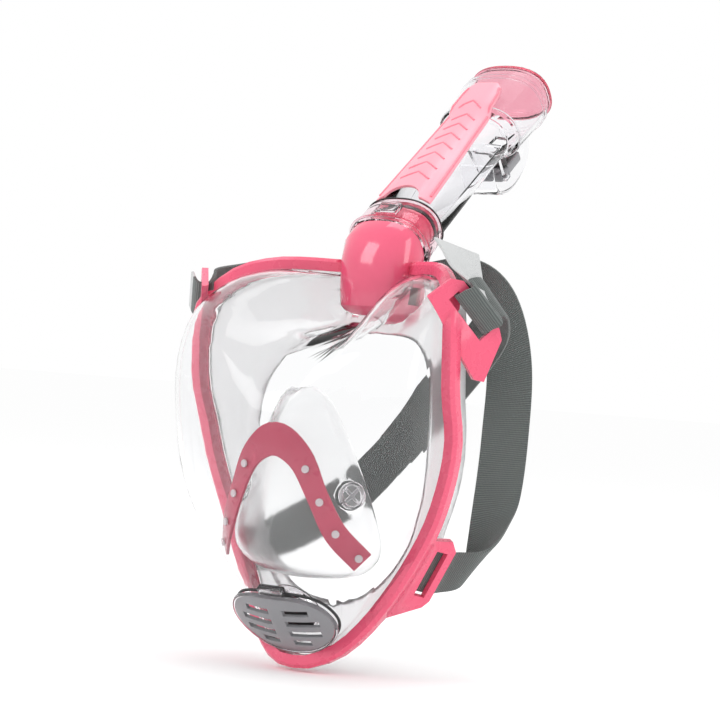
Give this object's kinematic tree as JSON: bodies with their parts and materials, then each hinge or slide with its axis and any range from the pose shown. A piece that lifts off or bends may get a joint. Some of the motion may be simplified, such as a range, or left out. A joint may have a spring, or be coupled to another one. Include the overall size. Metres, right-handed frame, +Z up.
{
  "type": "full face snorkel mask",
  "caption": "Full face snorkel mask: clear visor in a rigid frame, face skirt, nose pocket, chin drain, crossed head straps and a dry-top snorkel.",
  "frame": {"origin": "middle of the face opening, where the wearer's face holds the mask", "axes": "+Z up to the forehead, -Y the way the wearer looks, +X the wearer's left"},
  "size_m": [0.2276, 0.2852, 0.3958],
  "materials": {
    "frame_rose": "satin moulded",
    "visor": "polished clear",
    "silicone": "frosted translucent",
    "plate_rose": "satin moulded",
    "clear_part": "polished clear",
    "flap": "soft matt",
    "black_rubber": "matt",
    "grille_grey": "satin moulded",
    "elbow_rose": "polished",
    "tube_clear": "polished clear",
    "trim_coral": "satin moulded",
    "webbing": "woven elastic"
  },
  "bodies": {
    "mask": {"frame": "frame_rose", "lens": "visor", "face_skirt": "silicone", "nose_pocket": "silicone", "nose_plate": "plate_rose", "plate_stud_left_1": "clear_part", "plate_stud_left_2": "clear_part", "plate_stud_left_3": "clear_part", "plate_stud_left_4": "clear_part", "plate_stud_right_1": "clear_part", "plate_stud_right_2": "clear_part", "plate_stud_right_3": "clear_part", "plate_stud_right_4": "clear_part", "inhale_seat_left": "clear_part", "inhale_seat_right": "clear_part", "drain_seat": "clear_part", "elbow": "elbow_rose", "spigot_seal": "black_rubber", "strap_right_to_left": "webbing", "strap_left_to_right": "webbing"},
    "snorkel": {"tube_socket": "tube_clear", "snorkel_tube": "tube_clear", "tube_divider": "tube_clear", "tube_trim": "trim_coral", "dry_top": "tube_clear", "top_cap": "elbow_rose", "float_guard": "tube_clear", "float_pin": "grille_grey"},
    "button": {"release_button": "clear_part"},
    "float_arm": {"float": "grille_grey", "float_seal": "black_rubber"},
    "grille": {"chin_grille": "grille_grey", "grille_latch": "clear_part"},
    "drain_flap": {"drain_membrane": "black_rubber"},
    "inhale_flap_left": {"inhale_membrane_left": "flap"},
    "inhale_flap_right": {"inhale_membrane_right": "flap"}
  },
  "joints": [
    {"name": "snorkel_pull", "type": "slide", "parent": "mask", "child": "snorkel", "axis": [0, 0.779, 0.627], "range_m": [0, 0.03]},
    {"name": "button_press", "type": "slide", "parent": "snorkel", "child": "button", "axis": [0, 0.627, -0.779], "range_m": [0, 0.0015], "stiffness_N_per_m": 200},
    {"name": "float_swing", "type": "hinge", "parent": "snorkel", "child": "float_arm", "pos_m": [0, 0.18516, 0.19439], "axis": [1, 0, 0], "range_deg": [0, 12]},
    {"name": "grille_unclip", "type": "slide", "parent": "mask", "child": "grille", "axis": [0, -0.7549, -0.6559], "range_m": [0, 0.02]},
    {"name": "drain_lift", "type": "slide", "parent": "mask", "child": "drain_flap", "axis": [0, -0.7549, -0.6559], "range_m": [0, 0.0015], "stiffness_N_per_m": 60},
    {"name": "inhale_lift_left", "type": "slide", "parent": "mask", "child": "inhale_flap_left", "axis": [-0.796, 0.597, -0.0995], "range_m": [0, 0.0012], "stiffness_N_per_m": 40},
    {"name": "inhale_lift_right", "type": "slide", "parent": "mask", "child": "inhale_flap_right", "axis": [0.796, 0.597, -0.0995], "range_m": [0, 0.0012], "stiffness_N_per_m": 40}
  ]
}
